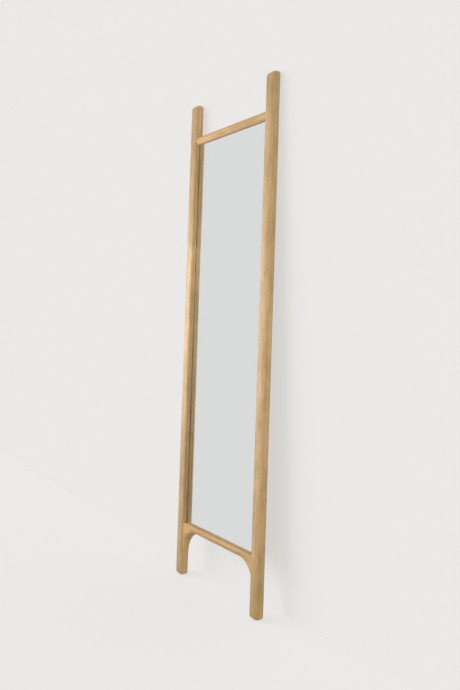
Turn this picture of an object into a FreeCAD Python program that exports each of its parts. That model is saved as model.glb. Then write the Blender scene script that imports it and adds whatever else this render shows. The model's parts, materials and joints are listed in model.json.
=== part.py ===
"""Leaning floor mirror: two rounded solid-oak uprights, a round top rail, an arched bottom rail and a
full-height glass pane held in a rebate from behind.

Each piece is first drawn standing straight: X across the width (the right upright at +X), Y from the
front to the wall with 0 at the front of the glass, Z up along the uprights from the floor. The whole
frame is then leaned back by LEAN, so that its tops rest on a wall and its feet stand flat on the floor,
and moved so that the origin is on the floor at the centre of its box. Lengths are in millimetres.
"""
import FreeCAD, Part
import math
import os

from FreeCAD import Vector

# Overall size and stance
UPRIGHT_LENGTH = 1802.5         # stands 1800 high once leaned
OUTER_WIDTH = 520.0
LEAN = 2.3                      # degrees from vertical, tops towards the wall

# Uprights
UPRIGHT_WIDTH = 35.0
UPRIGHT_DEPTH = 40.0
FRONT_TO_GLASS = 24.0           # from the uprights' front face back to the front of the glass
UPRIGHT_CORNER = 10.0           # radius of three of the long edges
OUTER_FRONT_CORNER = 14.0       # radius of the fourth, outer front one
TOP_RISE = 3.5                  # of the top from front to back
TOP_NOSE = 25.0                 # radius that rolls the front face over at the top
TOP_HEEL = 7.0                  # the same at the back of the top
FOOT_NOSE = 20.0                # radius that rolls the front face under at the foot
FOOT_HEEL = 4.0
END_FLARE = 0.2                 # the rolled ends start this far outside the faces, so they meet at an angle
END_EASE = 8.0                  # softening of the ends' remaining edges
SHORTEST_END_EDGE = 1.0         # edges with less depth than this only cross an end

# Rails, measured up the uprights from the floor
TOP_RAIL_RADIUS = 15.0
TOP_RAIL_HEIGHT = 1661.0        # of its axis, which lies in the plane of the glass's front
BOTTOM_RAIL_TOP = 197.5
BOTTOM_RAIL_FRONT = 15.0        # how far it stands in front of the glass
BOTTOM_RAIL_BACK = 12.0         # how far it reaches behind the glass's front
ARCH_RADIUS = 85.0
ARCH_FOOT = 88.0                # height at which each curved knee ends against its upright
KNEE_TIP = 1.5                  # thickness of the knee's lower end
ARCH_ROUND = 19.0               # rounding of the arch's front edge along the crown
KNEE_ROUND = 2.0                # what that rounding shrinks to at the knee's lower end
KNEE_FALLOFF = 3                # power of the turn by which it shrinks, slowly at first
KNEE_SECTIONS = 7               # sections that shape each knee
RAIL_EASE = 3.0                 # rounding of the bottom rail's upper front edge

# Glass, back panel and the stepped rebate that holds them
GLASS_THICKNESS = 3.0
TAPE_THICKNESS = 1.0
PANEL_THICKNESS = 6.0
GLASS_BITE = 8.0                # how far the glass pocket goes into each frame member
TOP_BITE = 8.0                  # how far the pocket goes up into the top rail
PANEL_BITE = 16.0               # how far the back panel's wider step goes into each upright
GLASS_PLAY = 1.0
PANEL_PLAY = 0.5
BLOCK_LENGTH = 60.0
BLOCK_THICKNESS = 2.0
BLOCK_OFFSET = 120.0            # from the middle to the centre of each setting block
TAPE_WIDTH = 19.0
TAPE_SPACING = 190.0            # between the centres of its three strips
TAPE_END_GAP = 30.0

# Joinery and fasteners
DOWEL_RADIUS = 4.0
DOWEL_LENGTH = 40.0
DOWEL_CHAMFER = 0.8
DOWEL_HOLE_PLAY = 0.05
DOWEL_END_PLAY = 1.0
DOWEL_HOLE_RADIUS = DOWEL_RADIUS + DOWEL_HOLE_PLAY
TOP_DOWELS = [(-6.5, -4.5), (3.5, 6.0)]           # (Y, Z) from the top rail's axis
BOTTOM_DOWELS = [(-3.5, -13.0), (-3.5, 9.5)]        # (Y, Z) from the crown of the arch
SCREW_RADIUS = 1.5
SCREW_LENGTH = 16.0
SCREW_HEAD_RADIUS = 3.0
SCREW_HEAD_HEIGHT = 1.7
SCREW_SLOT_WIDTH = 0.7
SCREW_SLOT_LENGTH = 3.4
SCREW_SLOT_DEPTH = 1.0
PANEL_SCREWS = 6
PANEL_SCREW_MARGIN = 70.0

# Keyhole plates in the uprights' backs, pads under the feet, bumpers where the tops meet the wall
PLATE_HEIGHT = 1712.0           # of the plate's middle, up the upright
PLATE_LENGTH = 46.0
PLATE_WIDTH = 15.0
PLATE_THICKNESS = 1.5
PLATE_SCREW_OFFSET = 17.0
KEYHOLE_RADIUS = 4.5
KEYHOLE_DROP = 5.0              # of the round entry below the plate's middle
KEYHOLE_SLOT_RADIUS = 2.2
KEYHOLE_SLOT_RISE = 6.0         # of the slot's end above the plate's middle
KEYHOLE_POCKET_DEPTH = 9.0      # room behind the plate for the head of a wall screw
KEYHOLE_POCKET_PLAY = 1.5       # how far that room reaches beyond the keyhole's outline
PAD_RADIUS = 6.0
PAD_THICKNESS = 3.0
PAD_PROUD = 1.0
BUMPER_RADIUS = 7.0
BUMPER_HEIGHT = 1762.0          # above the floor
BUMPER_RECESS = 2.0
WALL_GAP = 1.5                  # between the uprights' tops and the wall
CUT_OVERRUN = 50.0              # how far cutting shapes reach past what they cut

UPRIGHT_INNER = OUTER_WIDTH / 2 - UPRIGHT_WIDTH     # X of an upright's inner face
UPRIGHT_CENTRE = OUTER_WIDTH / 2 - UPRIGHT_WIDTH / 2
UPRIGHT_BACK = UPRIGHT_DEPTH - FRONT_TO_GLASS       # Y of an upright's back face
PANEL_FRONT = GLASS_THICKNESS + TAPE_THICKNESS
PANEL_BACK = PANEL_FRONT + PANEL_THICKNESS
POCKET_BOTTOM = BOTTOM_RAIL_TOP - GLASS_BITE
POCKET_TOP = TOP_RAIL_HEIGHT - TOP_RAIL_RADIUS + TOP_BITE
ARCH_CROWN = ARCH_FOOT + ARCH_RADIUS
KNEE_CORE = ARCH_RADIUS / 4     # the knees' sections start this far from their centres
ARCH_CENTRE = UPRIGHT_INNER - KNEE_TIP - ARCH_RADIUS   # X of the right knee's centre
X_AXIS = Vector(1, 0, 0)
Y_AXIS = Vector(0, 1, 0)
Z_AXIS = Vector(0, 0, 1)


def rounded_face(corners):
    """A flat face from (point, radius) corners: each is a tangent arc, or sharp where its radius is 0."""
    starts, ends, arcs = [], [], []
    for index, (point, radius) in enumerate(corners):
        to_last = (corners[index - 1][0] - point).normalize()
        to_next = (corners[(index + 1) % len(corners)][0] - point).normalize()
        half_angle = to_last.getAngle(to_next) / 2
        inward = (to_last + to_next).normalize()
        reach = radius / math.tan(half_angle)
        middle = point + inward * (radius / math.sin(half_angle) - radius)
        starts.append(point + to_last * reach)
        ends.append(point + to_next * reach)
        if radius > 0:
            arcs.append(Part.Arc(starts[-1], middle, ends[-1]).toShape())
        else:
            arcs.append(None)
    edges = []
    for index, arc in enumerate(arcs):
        if arc:
            edges.append(arc)
        following = starts[(index + 1) % len(corners)]
        if (following - ends[index]).Length > 1e-6:
            edges.append(Part.LineSegment(ends[index], following).toShape())
    return Part.Face(Part.Wire(edges))


def block(x_range, y_range, z_range):
    """A box between two values on each axis."""
    size = [high - low for low, high in (x_range, y_range, z_range)]
    return Part.makeBox(*size, Vector(x_range[0], y_range[0], z_range[0]))


def leaned(shape):
    """The shape leaned back about the floor line under the glass."""
    copy = shape.copy()
    copy.rotate(Vector(0, 0, 0), X_AXIS, -LEAN)
    return copy


def mirrored(shape):
    """The left-hand twin of a right-hand piece."""
    return shape.mirror(Vector(0, 0, 0), X_AXIS)


def floor_at(y):
    """Z, on the straight frame, of the plane that becomes the underside of the feet once leaned."""
    return PAD_PROUD / math.cos(math.radians(LEAN)) + y * math.tan(math.radians(LEAN))


def dowel_points(offsets, height):
    """(Y, Z) of dowel axes given as offsets from a height on the glass plane."""
    return [(y, height + z) for y, z in offsets]


def dowel_holes(points):
    """Blind holes across the right-hand joint between a rail's end and its upright."""
    length = DOWEL_LENGTH + 2 * DOWEL_END_PLAY
    starts = [Vector(UPRIGHT_INNER - length / 2, y, z) for y, z in points]
    return [Part.makeCylinder(DOWEL_HOLE_RADIUS, length, start, X_AXIS) for start in starts]


def dowels(points):
    """Chamfered dowels centred on the right-hand joint."""
    pins = []
    for y, z in points:
        start = Vector(UPRIGHT_INNER - DOWEL_LENGTH / 2, y, z)
        pin = Part.makeCylinder(DOWEL_RADIUS, DOWEL_LENGTH, start, X_AXIS)
        rims = [edge for edge in pin.Edges if edge.Closed]
        pins.append(pin.makeChamfer(DOWEL_CHAMFER, rims))
    return pins


def screw_hole(x, y, z):
    """The countersunk hole that a screw fills, with its mouth centred at (x, y, z), running towards -Y."""
    head = Part.makeCone(SCREW_HEAD_RADIUS, SCREW_RADIUS, SCREW_HEAD_HEIGHT, Vector(x, y, z), -Y_AXIS)
    shank = Part.makeCylinder(SCREW_RADIUS, SCREW_LENGTH, Vector(x, y, z), -Y_AXIS)
    return head.fuse(shank)


def screw(x, y, z):
    """A cross-head screw that fills such a hole, its head flush with the hole's mouth."""
    half = SCREW_SLOT_LENGTH / 2
    width = SCREW_SLOT_WIDTH / 2
    depth = (y - SCREW_SLOT_DEPTH, y + SCREW_SLOT_DEPTH)
    flat_slot = block((x - half, x + half), depth, (z - width, z + width))
    tall_slot = block((x - width, x + width), depth, (z - half, z + half))
    return screw_hole(x, y, z).cut([flat_slot, tall_slot])


def panel_screw_places():
    """Where the back panel is screwed to the right upright's shoulder."""
    x = UPRIGHT_INNER + (GLASS_BITE + PANEL_BITE) / 2
    low = POCKET_BOTTOM + PANEL_SCREW_MARGIN
    step = (POCKET_TOP - PANEL_SCREW_MARGIN - low) / (PANEL_SCREWS - 1)
    return [(x, PANEL_BACK, low + step * index) for index in range(PANEL_SCREWS)]


def plate_screw_places():
    """Where the right keyhole plate is screwed to its upright."""
    return [(UPRIGHT_CENTRE, UPRIGHT_BACK, PLATE_HEIGHT + offset)
            for offset in (-PLATE_SCREW_OFFSET, PLATE_SCREW_OFFSET)]


def slot_cutter(radius, low, high, depth):
    """A round-ended slot on the upright's centre line, cut to a depth from its back face."""
    corners = []
    for side, z in ((-1, low - radius), (1, low - radius), (1, high + radius), (-1, high + radius)):
        corners.append((Vector(UPRIGHT_CENTRE + side * radius, UPRIGHT_BACK + CUT_OVERRUN, z), radius))
    return rounded_face(corners).extrude(-Y_AXIS * (depth + CUT_OVERRUN))


def plate_blank():
    """The keyhole plate's round-ended outline, let in flush with the upright's back."""
    reach = (PLATE_LENGTH - PLATE_WIDTH) / 2
    blank = slot_cutter(PLATE_WIDTH / 2, PLATE_HEIGHT - reach, PLATE_HEIGHT + reach, PLATE_THICKNESS)
    return blank.common(block((0, OUTER_WIDTH), (0, UPRIGHT_BACK), (0, UPRIGHT_LENGTH)))


def keyhole_cutter(play, depth):
    """The keyhole, or the room behind it: a round entry with a narrower slot rising from it."""
    entry_height = PLATE_HEIGHT - KEYHOLE_DROP
    slot_end = PLATE_HEIGHT + KEYHOLE_SLOT_RISE
    mouth = Vector(UPRIGHT_CENTRE, UPRIGHT_BACK + CUT_OVERRUN, entry_height)
    entry = Part.makeCylinder(KEYHOLE_RADIUS + play, depth + CUT_OVERRUN, mouth, -Y_AXIS)
    return entry.fuse(slot_cutter(KEYHOLE_SLOT_RADIUS + play, entry_height, slot_end, depth))


def keyhole_plate():
    """A steel hanging plate with its keyhole and two screw holes."""
    holes = [screw_hole(*place) for place in plate_screw_places()]
    return plate_blank().cut([keyhole_cutter(0.0, KEYHOLE_POCKET_DEPTH)] + holes)


def eased_ends(bar):
    """The bar with the edges that run front to back over its two ends softened."""
    def runs_over_an_end(edge):
        box = edge.BoundBox
        near_end = box.ZMin > UPRIGHT_LENGTH - TOP_NOSE or box.ZMax < FOOT_NOSE
        return near_end and box.YLength > SHORTEST_END_EDGE
    return bar.makeFillet(END_EASE, [edge for edge in bar.Edges if runs_over_an_end(edge)])


def upright_bar():
    """The right upright before it is worked: a rounded section with its ends rolled over."""
    left, right = UPRIGHT_INNER, OUTER_WIDTH / 2
    front, back = -FRONT_TO_GLASS, UPRIGHT_BACK
    section = rounded_face([(Vector(x, y, -CUT_OVERRUN), radius) for x, y, radius in (
        (left, front, UPRIGHT_CORNER), (right, front, OUTER_FRONT_CORNER),
        (right, back, UPRIGHT_CORNER), (left, back, UPRIGHT_CORNER))])
    side = rounded_face([
        (Vector(0, front - END_FLARE, floor_at(front)), FOOT_NOSE),
        (Vector(0, front - END_FLARE, UPRIGHT_LENGTH - TOP_RISE), TOP_NOSE),
        (Vector(0, back + END_FLARE, UPRIGHT_LENGTH), TOP_HEEL),
        (Vector(0, back + END_FLARE, floor_at(back)), FOOT_HEEL)])
    bar = section.extrude(Z_AXIS * (UPRIGHT_LENGTH + 2 * CUT_OVERRUN))
    return eased_ends(bar.common(side.extrude(X_AXIS * OUTER_WIDTH)))


def upright():
    """The right upright with its stepped rebate, dowel and screw holes and plate recess."""
    pocket_span = (POCKET_BOTTOM, POCKET_TOP)
    glass_pocket = block((0, UPRIGHT_INNER + GLASS_BITE), (0, UPRIGHT_DEPTH), pocket_span)
    panel_step = block((0, UPRIGHT_INNER + PANEL_BITE), (PANEL_FRONT, UPRIGHT_DEPTH), pocket_span)
    dowels_at = dowel_points(TOP_DOWELS, TOP_RAIL_HEIGHT) + dowel_points(BOTTOM_DOWELS, ARCH_CROWN)
    holes = [screw_hole(*place) for place in panel_screw_places() + plate_screw_places()]
    plate_room = [plate_blank(), keyhole_cutter(KEYHOLE_POCKET_PLAY, KEYHOLE_POCKET_DEPTH)]
    return upright_bar().cut([glass_pocket, panel_step] + dowel_holes(dowels_at) + holes + plate_room)


def top_rail():
    """The round rail, rebated below and behind for the glass and the panel."""
    start = Vector(-UPRIGHT_INNER, 0, TOP_RAIL_HEIGHT)
    rail = Part.makeCylinder(TOP_RAIL_RADIUS, 2 * UPRIGHT_INNER, start, X_AXIS)
    pocket = block((-OUTER_WIDTH, OUTER_WIDTH), (0, UPRIGHT_DEPTH), (POCKET_TOP - CUT_OVERRUN, POCKET_TOP))
    holes = dowel_holes(dowel_points(TOP_DOWELS, TOP_RAIL_HEIGHT))
    return rail.cut([pocket] + holes + [mirrored(hole) for hole in holes])


def arch_section(angle):
    """The arch's void in section, turned about the right knee's centre by an angle from the crown."""
    rounding = KNEE_ROUND + (ARCH_ROUND - KNEE_ROUND) * (1 - (angle / 90) ** KNEE_FALLOFF)
    front = -BOTTOM_RAIL_FRONT
    rim = ARCH_RADIUS + rounding
    stops = [Vector(0, y, z) for y, z in (
        (front + rounding, ARCH_RADIUS), (CUT_OVERRUN, ARCH_RADIUS), (CUT_OVERRUN, KNEE_CORE),
        (-CUT_OVERRUN, KNEE_CORE), (-CUT_OVERRUN, rim), (front, rim))]
    edges = [Part.LineSegment(a, b).toShape() for a, b in zip(stops, stops[1:])]
    diagonal = rounding * math.cos(math.radians(45))
    middle = Vector(0, front + rounding - diagonal, rim - diagonal)
    wire = Part.Wire(edges + [Part.Arc(stops[-1], middle, stops[0]).toShape()])
    wire.rotate(Vector(0, 0, 0), Y_AXIS, angle)
    wire.translate(Vector(ARCH_CENTRE, 0, ARCH_FOOT))
    return wire


def arch_void():
    """What the arch removes below the bottom rail: a straight crown between two quarter-turn knees."""
    crown = Part.Face(arch_section(0)).extrude(X_AXIS * -2 * ARCH_CENTRE)
    angles = [90 * index / (KNEE_SECTIONS - 1) for index in range(KNEE_SECTIONS)]
    knee = Part.makeLoft([arch_section(angle) for angle in angles], True)
    core_start = Vector(ARCH_CENTRE, -CUT_OVERRUN, ARCH_FOOT)
    core = Part.makeCylinder(2 * KNEE_CORE, 2 * CUT_OVERRUN, core_start, Y_AXIS)
    middle = block((-ARCH_CENTRE, ARCH_CENTRE), (-CUT_OVERRUN, CUT_OVERRUN), (0, ARCH_CROWN - KNEE_CORE))
    below = block((-OUTER_WIDTH, OUTER_WIDTH), (-CUT_OVERRUN, CUT_OVERRUN), (0, ARCH_FOOT))
    return [crown, knee, mirrored(knee), core, mirrored(core), middle, below]


def bottom_rail():
    """The arched rail with its two knees, rebated above and behind for the glass and the panel."""
    upper_front = Vector(0, -BOTTOM_RAIL_FRONT, BOTTOM_RAIL_TOP)
    section = rounded_face([
        (Vector(0, -BOTTOM_RAIL_FRONT, 0), 0), (upper_front, RAIL_EASE),
        (Vector(0, 0, BOTTOM_RAIL_TOP), 0), (Vector(0, 0, POCKET_BOTTOM), 0),
        (Vector(0, BOTTOM_RAIL_BACK, POCKET_BOTTOM), 0), (Vector(0, BOTTOM_RAIL_BACK, 0), 0)])
    section.translate(Vector(-UPRIGHT_INNER, 0, 0))
    board = section.extrude(X_AXIS * 2 * UPRIGHT_INNER)
    holes = dowel_holes(dowel_points(BOTTOM_DOWELS, ARCH_CROWN))
    return board.cut(arch_void() + holes + [mirrored(hole) for hole in holes])


def mirror_pane():
    """The silvered glass, standing on the setting blocks."""
    half = UPRIGHT_INNER + GLASS_BITE - GLASS_PLAY
    z_range = (POCKET_BOTTOM + BLOCK_THICKNESS, POCKET_TOP - GLASS_PLAY)
    return block((-half, half), (0, GLASS_THICKNESS), z_range)


def setting_block():
    """The right one of two thin blocks in the bottom rail's rebate that carry the glass."""
    half = BLOCK_LENGTH / 2
    x_range = (BLOCK_OFFSET - half, BLOCK_OFFSET + half)
    return block(x_range, (0, GLASS_THICKNESS), (POCKET_BOTTOM, POCKET_BOTTOM + BLOCK_THICKNESS))


def mounting_tape(x):
    """A strip of double-sided foam tape between the glass and the panel, centred on x."""
    x_range = (x - TAPE_WIDTH / 2, x + TAPE_WIDTH / 2)
    z_range = (POCKET_BOTTOM + TAPE_END_GAP, POCKET_TOP - TAPE_END_GAP)
    return block(x_range, (GLASS_THICKNESS, PANEL_FRONT), z_range)


def back_panel():
    """The fibreboard back, screwed to the uprights' shoulders."""
    half = UPRIGHT_INNER + PANEL_BITE - PANEL_PLAY
    board = block((-half, half), (PANEL_FRONT, PANEL_BACK), (POCKET_BOTTOM, POCKET_TOP - PANEL_PLAY))
    holes = [screw_hole(*place) for place in panel_screw_places()]
    return board.cut(holes + [mirrored(hole) for hole in holes])


def foot_pad():
    """The right foot's non-slip pad, flat on the floor, let into the flat of the leaned foot."""
    flat_front = FOOT_NOSE - FRONT_TO_GLASS
    flat_back = UPRIGHT_BACK - FOOT_HEEL
    centre = Vector(UPRIGHT_CENTRE, (flat_front + flat_back) / 2, 0)
    return Part.makeCylinder(PAD_RADIUS, PAD_THICKNESS, centre, Z_AXIS)


def wall_bumper(wall):
    """The right felt bumper between the leaned upright's back and the wall."""
    back = UPRIGHT_BACK + BUMPER_HEIGHT * math.tan(math.radians(LEAN))
    depth = wall - back + BUMPER_RECESS
    return Part.makeCylinder(BUMPER_RADIUS, depth, Vector(UPRIGHT_CENTRE, wall, BUMPER_HEIGHT), -Y_AXIS)


def pair(name, shape):
    """A right-hand piece and its left-hand twin."""
    return {name + "_right": shape, name + "_left": mirrored(shape)}


def repeated_pieces():
    """The right-hand fasteners, several of each, by the name they share."""
    return {
        "top_rail_dowel": dowels(dowel_points(TOP_DOWELS, TOP_RAIL_HEIGHT)),
        "bottom_rail_dowel": dowels(dowel_points(BOTTOM_DOWELS, ARCH_CROWN)),
        "panel_screw": [screw(*place) for place in panel_screw_places()],
        "keyhole_screw": [screw(*place) for place in plate_screw_places()],
    }


def assembly():
    """Every node's shape, leaned and centred on the floor."""
    leaned_upright = leaned(upright())
    reach = leaned_upright.optimalBoundingBox(False)
    wall = reach.YMax + WALL_GAP
    pad = foot_pad()
    bumper = wall_bumper(wall)
    nodes = {
        "top_rail": leaned(top_rail()),
        "bottom_rail": leaned(bottom_rail()),
        "mirror_pane": leaned(mirror_pane()),
        "back_panel": leaned(back_panel()),
        "mounting_tape_middle": leaned(mounting_tape(0)),
    }
    nodes.update(pair("mounting_tape", leaned(mounting_tape(TAPE_SPACING))))
    nodes.update(pair("setting_block", leaned(setting_block())))
    nodes.update(pair("keyhole_plate", leaned(keyhole_plate())))
    for name, shapes in repeated_pieces().items():
        for number, shape in enumerate(shapes, start=1):
            nodes.update(pair(name + "_" + str(number), leaned(shape)))
    nodes.update(pair("upright", leaned_upright.cut([pad, bumper])))
    nodes.update(pair("foot_pad", pad))
    nodes.update(pair("wall_bumper", bumper))
    for shape in nodes.values():
        shape.translate(Y_AXIS * -(reach.YMin + wall) / 2)
    return nodes


os.makedirs("parts", exist_ok=True)
for node, piece in assembly().items():
    piece.exportStep("parts/" + node + ".step")
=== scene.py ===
"""Looks of the leaning oak floor mirror: oak with its grain along each piece, a silvered pane, the fibreboard
back and its hardware, on a plain pale stage. Metres, in the frame's own axes: +Z up, +Y towards the wall.
"""
import json
import math
import bmesh
import bpy
from mathutils import Matrix, Vector


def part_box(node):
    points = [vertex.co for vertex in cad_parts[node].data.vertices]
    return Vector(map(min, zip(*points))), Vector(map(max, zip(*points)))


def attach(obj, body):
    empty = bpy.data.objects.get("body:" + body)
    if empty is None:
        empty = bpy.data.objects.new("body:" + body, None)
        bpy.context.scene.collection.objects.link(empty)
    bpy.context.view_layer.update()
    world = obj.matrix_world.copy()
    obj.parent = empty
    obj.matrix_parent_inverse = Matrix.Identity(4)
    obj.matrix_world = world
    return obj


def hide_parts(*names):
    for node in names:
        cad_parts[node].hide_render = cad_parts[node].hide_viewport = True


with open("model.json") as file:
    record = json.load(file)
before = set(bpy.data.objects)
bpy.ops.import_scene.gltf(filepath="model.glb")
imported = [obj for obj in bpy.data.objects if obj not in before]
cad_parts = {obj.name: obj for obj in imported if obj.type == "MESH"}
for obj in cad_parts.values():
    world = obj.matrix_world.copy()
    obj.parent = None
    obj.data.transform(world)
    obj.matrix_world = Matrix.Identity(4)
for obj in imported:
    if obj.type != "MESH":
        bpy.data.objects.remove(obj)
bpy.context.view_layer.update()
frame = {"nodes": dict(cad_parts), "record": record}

# Camera
CAMERA_PLACE = Vector((2.1183, -1.3985, 1.0056))
CAMERA_YAW = math.radians(56.13)
SENSOR = 36.0
LENS = 37.07
CAMERA_DROP = -0.0496            # share of the frame's height by which the view is shifted down

# Stage and light
STAGE_SIZE = 40.0
WALL_FOOTING = 0.5               # how far the wall goes down past the floor
BACKDROP = (0.823, 0.815, 0.799)
STAGE_GLOW = 0.725               # share of the stage's brightness that no shadow takes away
WALL_PAINT = (0.215, 0.219, 0.240)
FLOOR_PAINT = (0.216, 0.220, 0.253)
SUN_STRENGTH = 2.2               # lights the stage alone, for the shadows
SUN_SOFTNESS = math.radians(60)
SUN_SIDE = math.radians(42)      # how far the sun stands to the left of straight ahead of the mirror
SUN_HEIGHT = math.radians(20)
SKY_COLOUR = (0.86, 0.81, 0.65)
SKY_TOP = 1.08                   # soft light arriving from above and below
SKY_BOTTOM = 0.27
FRONT_BOX_SIZE = (0.7, 0.5)
FRONT_BOX_PLACE = Vector((-0.32, -0.80, 1.03))
FRONT_BOX_POWER = 9.5
FRONT_BOX_COLOUR = (0.58, 0.66, 1.0)
SIDE_BOX_SIZE = (1.2, 0.5)
SIDE_BOX_PLACE = Vector((0.95, -0.80, 1.03))
SIDE_BOX_POWER = 6.5
SIDE_BOX_COLOUR = (0.70, 0.76, 0.95)
PANE_BOX_SIZE = (0.12, 0.45)     # stands for the light that the pane throws on the far upright
PANE_BOX_PLACE = Vector((0.10, -0.16, 1.20))
PANE_BOX_POWER = 0.42
PANE_BOX_COLOUR = (1.0, 0.97, 0.90)

# Mirror
GLASS_THICKNESS = 0.003
GLASS_ARRIS = 0.0006             # the ground edge all round the pane
GLASS_CLEARANCE = 0.00002        # keeps its face just off the wood that it rests on
SILVER_THICKNESS = 0.00005
SILVER_ARRIS = 0.00001
SILVER_MARGIN = 0.002            # bare glass left round the silvering
SILVER_HAZY = (0.852, 0.873, 0.892)
SILVER_CLEAN = (0.860, 0.878, 0.896)
GLASS_GREEN = (0.975, 0.992, 0.985)
GLASS_CLEAR = (0.985, 0.998, 0.992)
GLASS_IOR = 1.52

# Oak
OAK_LIGHT = (0.70, 0.470, 0.235)
OAK_DARK = (0.45, 0.285, 0.122)
OAK_PORE = (0.25, 0.15, 0.060)
RAIL_LIGHT = (0.80, 0.510, 0.235)    # the rails are cut from a warmer, paler board
RAIL_DARK = (0.54, 0.320, 0.125)
RING_WIDTH = 0.0034
RING_WAVE = 0.012                # how far the rings wander over the piece's length
RING_RIPPLE = 0.001              # and how far they ripple
# The oak's noises: cells to the metre across the grain, and the share of that number along it
WANDER = (9, 0.10)
RIPPLE = (90, 0.12)
STREAK = (160, 0.035)
TONE = (22, 0.25)
PORE = (1500, 0.035)
MOTTLE = (60, 0.3)
FLECK = (400, 0.3)

# Other materials: a fine noise mixes each dark colour with its light one
BOARD_DARK = (0.23, 0.148, 0.085)
BOARD_LIGHT = (0.42, 0.295, 0.185)
BOARD_CLOUD = (0.27, 0.18, 0.115)
BOARD_FLECK = (0.10, 0.06, 0.04)
STEEL_DARK = (0.42, 0.42, 0.41)
STEEL_LIGHT = (0.60, 0.60, 0.58)
STEEL_DULL = (0.42, 0.43, 0.44)
FELT_DARK = (0.30, 0.24, 0.18)
FELT_LIGHT = (0.56, 0.48, 0.39)
FELT_MOTTLE = (0.36, 0.30, 0.24)
TAPE_DARK = (0.62, 0.61, 0.58)
TAPE_LIGHT = (0.86, 0.85, 0.82)
BLOCK_DARK = (0.02, 0.02, 0.02)
BLOCK_LIGHT = (0.07, 0.07, 0.07)
PAD_DARK = (0.03, 0.027, 0.024)
PAD_LIGHT = (0.10, 0.09, 0.08)


def link(tree, source, target):
    """Links a socket, or sets a value, on an input socket."""
    if isinstance(source, bpy.types.NodeSocket):
        tree.links.new(source, target)
    else:
        target.default_value = source


def add(tree, kind, inputs=None, **settings):
    """A new node, with its settings and its inputs filled in."""
    node = tree.nodes.new("ShaderNode" + kind)
    for name, value in settings.items():
        setattr(node, name, value)
    for name, value in (inputs or {}).items():
        link(tree, value, node.inputs[name])
    return node


def maths(tree, operation, *values):
    """The result of a Math node."""
    node = add(tree, "Math", operation=operation)
    for socket, value in zip(node.inputs, values):
        link(tree, value, socket)
    return node.outputs[0]


def placed(tree, vector, scale=(1, 1, 1), offset=(0, 0, 0), turn=(0, 0, 0)):
    """A vector moved, turned and scaled."""
    inputs = {"Vector": vector, "Scale": scale, "Location": offset, "Rotation": turn}
    return add(tree, "Mapping", inputs).outputs[0]


def noise(tree, vector, scale, detail=2.0, roughness=0.5):
    """Noise from 0 to 1 at a number of cells to the metre."""
    inputs = {"Vector": vector, "Scale": scale, "Detail": detail, "Roughness": roughness}
    return add(tree, "TexNoise", inputs).outputs["Fac"]


def grain(tree, vector, kind, detail, roughness=0.5):
    """One of the oak's noises, drawn out along Z."""
    cells, along = kind
    return noise(tree, placed(tree, vector, scale=(1, 1, along)), cells, detail, roughness)


def ramp(tree, value, low, high, to_low=0.0, to_high=1.0):
    """The value taken smoothly from one range to another."""
    node = add(tree, "MapRange", interpolation_type="SMOOTHSTEP")
    for socket, number in zip(node.inputs[:5], (value, low, high, to_low, to_high)):
        link(tree, number, socket)
    return node.outputs[0]


def blended(tree, share, first, second):
    """Two colours mixed."""
    node = add(tree, "Mix", data_type="RGBA")
    for socket, value in zip((node.inputs[0], node.inputs[6], node.inputs[7]), (share, first, second)):
        if isinstance(value, tuple):
            value = (*value, 1.0)
        link(tree, value, socket)
    return node.outputs[2]


def new_material(name):
    """An empty material with its tree, shader and object coordinates."""
    material = bpy.data.materials.new(name)
    material.use_nodes = True
    tree = material.node_tree
    tree.nodes.clear()
    shader = add(tree, "BsdfPrincipled")
    output = add(tree, "OutputMaterial")
    tree.links.new(shader.outputs[0], output.inputs[0])
    return material, tree, shader, add(tree, "TexCoord").outputs["Object"]


def bumped(tree, shader, height, strength, distance):
    """Gives the shader a bump from a height."""
    bump = add(tree, "Bump", {"Height": height, "Strength": strength, "Distance": distance})
    tree.links.new(bump.outputs[0], shader.inputs["Normal"])


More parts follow.
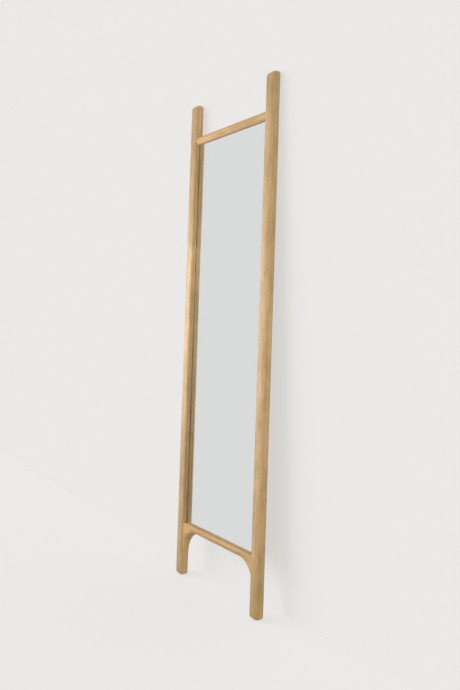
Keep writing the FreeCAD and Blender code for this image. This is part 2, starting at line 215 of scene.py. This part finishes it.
def oak(name, turn, centre, heart, seed, light=OAK_LIGHT, dark=OAK_DARK):
    """Oiled oak. turn brings the grain onto Z, centre is the piece's middle, heart is where the middle of the
    tree lies from there, across the grain, and seed picks the part of the noises it is cut from."""
    material, tree, shader, place = new_material(name)
    local = placed(tree, placed(tree, place, offset=tuple(-centre)), turn=turn)
    shifted = placed(tree, local, offset=(seed, 2 * seed, 3 * seed))
    wander = grain(tree, shifted, WANDER, 2)
    ripple = grain(tree, shifted, RIPPLE, 2)
    split = add(tree, "SeparateXYZ", {"Vector": local})
    across = maths(tree, "SUBTRACT", split.outputs[0], heart[0])
    depth = maths(tree, "SUBTRACT", split.outputs[1], heart[1])
    radius = maths(tree, "SQRT", maths(tree, "ADD", maths(tree, "MULTIPLY", across, across),
                                       maths(tree, "MULTIPLY", depth, depth)))
    radius = maths(tree, "ADD", radius, maths(tree, "MULTIPLY", wander, RING_WAVE))
    radius = maths(tree, "ADD", radius, maths(tree, "MULTIPLY", ripple, RING_RIPPLE))
    ring = maths(tree, "FRACT", maths(tree, "DIVIDE", radius, RING_WIDTH))
    early = maths(tree, "MULTIPLY", ramp(tree, ring, 0.0, 0.12), ramp(tree, ring, 0.60, 0.22))
    streak = grain(tree, shifted, STREAK, 3, 0.6)
    tone = grain(tree, shifted, TONE, 3)
    pores = grain(tree, shifted, PORE, 2, 0.6)
    pores = maths(tree, "MULTIPLY", ramp(tree, pores, 0.56, 0.66), ramp(tree, early, 0.0, 0.8, 0.25, 1.0))
    mottle = grain(tree, shifted, MOTTLE, 2)
    fleck = grain(tree, shifted, FLECK, 2, 0.6)
    darkness = maths(tree, "ADD", maths(tree, "MULTIPLY", early, 0.18),
                     ramp(tree, streak, 0.35, 0.72, 0.0, 0.32))
    for shade, most in ((tone, 0.32), (mottle, 0.26), (fleck, 0.24)):
        darkness = maths(tree, "ADD", darkness, ramp(tree, shade, 0.3, 0.7, -0.06, most))
    colour = blended(tree, darkness, light, dark)
    colour = blended(tree, maths(tree, "MULTIPLY", pores, 0.55), colour, OAK_PORE)
    tree.links.new(colour, shader.inputs["Base Color"])
    rough = maths(tree, "ADD", ramp(tree, streak, 0.2, 0.8, 0.46, 0.56),
                  maths(tree, "MULTIPLY", pores, 0.2))
    tree.links.new(rough, shader.inputs["Roughness"])
    height = maths(tree, "SUBTRACT", maths(tree, "MULTIPLY", streak, 0.25), pores)
    bumped(tree, shader, height, 0.35, 0.0002)
    return material


def silver():
    """The silvering, with the pane's faint green and the least haze."""
    material, tree, shader, place = new_material("silver")
    haze = noise(tree, place, 7, 4)
    colour = blended(tree, haze, SILVER_HAZY, SILVER_CLEAN)
    tree.links.new(colour, shader.inputs["Base Color"])
    shader.inputs["Metallic"].default_value = 1.0
    link(tree, ramp(tree, haze, 0.45, 0.8, 0.0, 0.01), shader.inputs["Roughness"])
    return material


def float_glass():
    """Clear float glass, faintly green, wiped clean but for a trace of haze."""
    material, tree, shader, place = new_material("float_glass")
    smear = noise(tree, placed(tree, place, scale=(1, 1, 0.4)), 12, 4)
    tree.links.new(blended(tree, smear, GLASS_GREEN, GLASS_CLEAR), shader.inputs["Base Color"])
    link(tree, ramp(tree, smear, 0.5, 0.9, 0.0, 0.01), shader.inputs["Roughness"])
    shader.inputs["Transmission Weight"].default_value = 1.0
    shader.inputs["IOR"].default_value = GLASS_IOR
    return material


def fibreboard():
    """Brown fibreboard: pressed fibres in no direction, with darker flecks."""
    material, tree, shader, place = new_material("fibreboard")
    fibres = noise(tree, placed(tree, place, scale=(1, 1, 0.5)), 700, 4, 0.7)
    cloud = noise(tree, place, 9, 3)
    flecks = ramp(tree, noise(tree, place, 330, 3, 0.7), 0.62, 0.72)
    colour = blended(tree, ramp(tree, fibres, 0.3, 0.7), BOARD_DARK, BOARD_LIGHT)
    colour = blended(tree, ramp(tree, cloud, 0.3, 0.7, 0.0, 0.4), colour, BOARD_CLOUD)
    colour = blended(tree, maths(tree, "MULTIPLY", flecks, 0.5), colour, BOARD_FLECK)
    tree.links.new(colour, shader.inputs["Base Color"])
    link(tree, ramp(tree, fibres, 0.2, 0.8, 0.60, 0.80), shader.inputs["Roughness"])
    bumped(tree, shader, fibres, 0.4, 0.0002)
    return material


def steel():
    """Zinc-plated steel, brushed up and down, dulled in patches."""
    material, tree, shader, place = new_material("steel")
    brush = noise(tree, placed(tree, place, scale=(1, 1, 0.03)), 4000, 2)
    dull = noise(tree, place, 120, 3)
    colour = blended(tree, brush, STEEL_DARK, STEEL_LIGHT)
    colour = blended(tree, ramp(tree, dull, 0.4, 0.8, 0.0, 0.5), colour, STEEL_DULL)
    tree.links.new(colour, shader.inputs["Base Color"])
    shader.inputs["Metallic"].default_value = 1.0
    link(tree, ramp(tree, dull, 0.2, 0.8, 0.28, 0.48), shader.inputs["Roughness"])
    bumped(tree, shader, brush, 0.2, 0.00005)
    return material


def felt():
    """Pressed wool felt: tangled fibres over a soft mottle."""
    material, tree, shader, place = new_material("felt")
    tangle = noise(tree, place, 2600, 4, 0.7)
    mottle = noise(tree, place, 260, 2)
    colour = blended(tree, tangle, FELT_DARK, FELT_LIGHT)
    colour = blended(tree, ramp(tree, mottle, 0.3, 0.7, 0.0, 0.4), colour, FELT_MOTTLE)
    tree.links.new(colour, shader.inputs["Base Color"])
    shader.inputs["Roughness"].default_value = 0.95
    shader.inputs["Sheen Weight"].default_value = 0.4
    bumped(tree, shader, tangle, 0.7, 0.0003)
    return material


def moulded(name, dark, light, grain, rough):
    """A dull moulded or foamed part: fine stipple with a slow change of tone."""
    material, tree, shader, place = new_material(name)
    stipple = noise(tree, place, grain, 3, 0.6)
    cloud = noise(tree, place, 60, 2)
    colour = blended(tree, maths(tree, "MULTIPLY", stipple, cloud), dark, light)
    tree.links.new(colour, shader.inputs["Base Color"])
    link(tree, ramp(tree, stipple, 0.2, 0.8, rough - 0.08, rough + 0.08), shader.inputs["Roughness"])
    bumped(tree, shader, stipple, 0.4, 0.0001)
    return material


def dress(node, material):
    """Gives a CAD node its material."""
    slots = frame["nodes"][node].data.materials
    slots.clear()
    slots.append(material)


def middle(node):
    """The centre of a CAD node's box."""
    low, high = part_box(node)
    return (low + high) / 2


def lean():
    """The angle the mirror leans back by, from the way its keyholes face."""
    axis = next(m["axis"] for m in frame["record"]["mounts"] if m["name"] == "keyhole_right")
    return math.atan2(-axis[2], axis[1])


def slab(name, size, centre, arris, material):
    """A leaned slab with its edges ground off."""
    bm = bmesh.new()
    bmesh.ops.create_cube(bm, size=1.0)
    bmesh.ops.scale(bm, vec=size, verts=bm.verts)
    bmesh.ops.bevel(bm, geom=bm.edges, offset=arris, segments=2, profile=0.5, affect="EDGES")
    bmesh.ops.rotate(bm, matrix=Matrix.Rotation(-lean(), 3, "X"), verts=bm.verts)
    bmesh.ops.translate(bm, vec=centre, verts=bm.verts)
    mesh = bpy.data.meshes.new(name)
    bm.to_mesh(mesh)
    bm.free()
    mesh.materials.append(material)
    piece = bpy.data.objects.new(name, mesh)
    bpy.context.scene.collection.objects.link(piece)
    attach(piece, "root")
    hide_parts("mirror_pane")
    return piece


def make_pane():
    """The mirror as it is made: a glass pane, and silvering on its back face."""
    low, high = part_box("mirror_pane")
    into_wall = Vector((0, math.cos(lean()), -math.sin(lean())))
    height = (high.z - low.z - GLASS_THICKNESS * math.sin(lean())) / math.cos(lean())
    width = high.x - low.x
    centre = (low + high) / 2
    thickness = GLASS_THICKNESS - GLASS_CLEARANCE
    glass = slab("mirror_glass", (width, thickness, height), centre + into_wall * GLASS_CLEARANCE / 2,
                 GLASS_ARRIS, float_glass())
    glass.visible_shadow = False     # light reaches the wood and the silvering through it
    coat_depth = GLASS_THICKNESS / 2 - SILVER_THICKNESS
    slab("mirror_silvering", (width - 2 * SILVER_MARGIN, SILVER_THICKNESS, height - 2 * SILVER_MARGIN),
         centre + into_wall * coat_depth, SILVER_ARRIS, silver())


def dress_oak():
    """Oak for the frame: each piece cut from its own part of the tree, the grain along its length."""
    upright_turn = (lean(), 0, 0)
    rail_turn = (lean(), math.radians(90), 0)
    for node, heart, seed in (("upright_right", (0.070, -0.050), 1.7), ("upright_left", (-0.085, 0.040), 4.1)):
        dress(node, oak("oak_" + node, upright_turn, middle(node), heart, seed))
    for node, heart, seed in (("top_rail", (0.030, 0.055), 6.3), ("bottom_rail", (-0.120, -0.030), 8.9)):
        dress(node, oak("oak_" + node, rail_turn, middle(node), heart, seed, RAIL_LIGHT, RAIL_DARK))


def dress_rest():
    """Materials of everything that isn't the oak frame, by the record's material slots."""
    finishes = {
        "fibreboard": fibreboard(),
        "steel": steel(),
        "felt": felt(),
        "foam_tape": moulded("foam_tape", TAPE_DARK, TAPE_LIGHT, 1800, 0.8),
        "setting_block": moulded("setting_block", BLOCK_DARK, BLOCK_LIGHT, 1500, 0.7),
        "pad_rubber": moulded("pad_rubber", PAD_DARK, PAD_LIGHT, 1500, 0.75),
    }
    for entry in frame["record"]["subparts"]:
        node, slot = entry["node"], entry["material_slot"]
        if slot in finishes:
            dress(node, finishes[slot])
        elif slot == "beech_dowel":
            dress(node, oak("beech_" + node, (0, math.radians(90), 0), middle(node), (0.05, 0.03), 2.3))


def plane(name, corners, paint):
    """One flat stage surface. It takes light and shade but sends none back, and shows from its front only."""
    mesh = bpy.data.meshes.new(name)
    mesh.from_pydata(corners, [], [(0, 1, 2, 3)])
    surface = bpy.data.objects.new(name, mesh)
    bpy.context.scene.collection.objects.link(surface)
    surface.visible_diffuse = False
    surface.visible_glossy = False
    surface.visible_transmission = False
    surface.visible_shadow = False
    material = bpy.data.materials.new(name)
    material.use_nodes = True
    tree = material.node_tree
    tree.nodes.clear()
    painted = add(tree, "BsdfDiffuse", {"Color": (*paint, 1.0)}).outputs[0]
    glow = add(tree, "Emission", {"Color": (*BACKDROP, 1.0), "Strength": STAGE_GLOW}).outputs[0]
    front = add(tree, "AddShader", {0: painted, 1: glow}).outputs[0]
    behind = add(tree, "NewGeometry").outputs["Backfacing"]
    mix = add(tree, "MixShader", {0: behind, 1: front, 2: add(tree, "BsdfTransparent").outputs[0]})
    output = add(tree, "OutputMaterial")
    tree.links.new(mix.outputs[0], output.inputs[0])
    mesh.materials.append(material)
    return surface


def make_stage():
    """A pale floor under the feet and a pale wall at the bumpers."""
    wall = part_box("wall_bumper_right")[1].y
    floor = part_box("foot_pad_right")[0].z
    footing = floor - WALL_FOOTING
    s = STAGE_SIZE
    level = [(-s, -s, floor), (s, -s, floor), (s, s, floor), (-s, s, floor)]
    upright = [(-s, wall, footing), (s, wall, footing), (s, wall, s), (-s, wall, s)]
    return [plane("floor", level, FLOOR_PAINT), plane("wall", upright, WALL_PAINT)]


def make_world():
    """An even pale surround, whose soft warm light is strongest from above."""
    world = bpy.data.worlds.new("studio")
    bpy.context.scene.world = world
    world.use_nodes = True
    tree = world.node_tree
    tree.nodes.clear()
    direction = add(tree, "SeparateXYZ", {"Vector": add(tree, "TexCoord").outputs["Generated"]})
    rise = ramp(tree, direction.outputs[2], -1, 1, SKY_BOTTOM, SKY_TOP)
    light = add(tree, "Background", {"Color": (*SKY_COLOUR, 1), "Strength": rise})
    seen = add(tree, "Background", {"Color": (*BACKDROP, 1), "Strength": 1.0})
    path = add(tree, "LightPath").outputs["Is Diffuse Ray"]
    mix = add(tree, "MixShader", {0: path, 1: seen.outputs[0], 2: light.outputs[0]})
    tree.links.new(mix.outputs[0], add(tree, "OutputWorld").inputs[0])


def light_only(light, objects):
    """Has a light fall on these objects alone."""
    lit = bpy.data.collections.new("lit_by_" + light.name)
    for each in objects:
        lit.objects.link(each)
    light.light_linking.receiver_collection = lit


def make_sun(stage):
    """One broad soft light on the stage, from the left, in front and above."""
    data = bpy.data.lights.new("sun", "SUN")
    data.energy = SUN_STRENGTH
    data.angle = SUN_SOFTNESS
    sun = bpy.data.objects.new("sun", data)
    bpy.context.scene.collection.objects.link(sun)
    level = math.cos(SUN_HEIGHT)
    towards = Vector((-level * math.sin(SUN_SIDE), -level * math.cos(SUN_SIDE), math.sin(SUN_HEIGHT)))
    sun.rotation_euler = towards.to_track_quat("Z", "Y").to_euler()
    light_only(sun, stage)


def make_softbox(name, target, size, place, power, colour):
    """A soft light close to the mirror and on it alone, which fades towards the tops and the feet."""
    data = bpy.data.lights.new(name, "AREA")
    data.shape = "RECTANGLE"
    data.size, data.size_y = size
    data.energy = power
    data.color = colour
    softbox = bpy.data.objects.new(name, data)
    bpy.context.scene.collection.objects.link(softbox)
    softbox.location = place
    aim = middle(target)
    aim.z = place.z
    softbox.rotation_euler = (place - aim).to_track_quat("Z", "Y").to_euler()
    softbox.visible_glossy = False
    softbox.visible_transmission = False
    softbox.visible_camera = False
    light_only(softbox, frame["nodes"].values())


def make_camera():
    """A level camera in front of the mirror's right-hand side."""
    data = bpy.data.cameras.new("camera")
    data.sensor_width = SENSOR
    data.lens = LENS
    data.shift_y = CAMERA_DROP
    camera = bpy.data.objects.new("camera", data)
    bpy.context.scene.collection.objects.link(camera)
    camera.location = CAMERA_PLACE
    camera.rotation_euler = (math.radians(90), 0, CAMERA_YAW)
    bpy.context.scene.camera = camera


bpy.context.scene.view_settings.view_transform = "Standard"
dress_oak()
dress_rest()
make_pane()
make_world()
make_sun(make_stage())
make_softbox("front_box", "mirror_pane", FRONT_BOX_SIZE, FRONT_BOX_PLACE, FRONT_BOX_POWER,
             FRONT_BOX_COLOUR)
make_softbox("side_box", "mirror_pane", SIDE_BOX_SIZE, SIDE_BOX_PLACE, SIDE_BOX_POWER,
             SIDE_BOX_COLOUR)
make_softbox("pane_box", "upright_left", PANE_BOX_SIZE, PANE_BOX_PLACE, PANE_BOX_POWER,
             PANE_BOX_COLOUR)
make_camera()
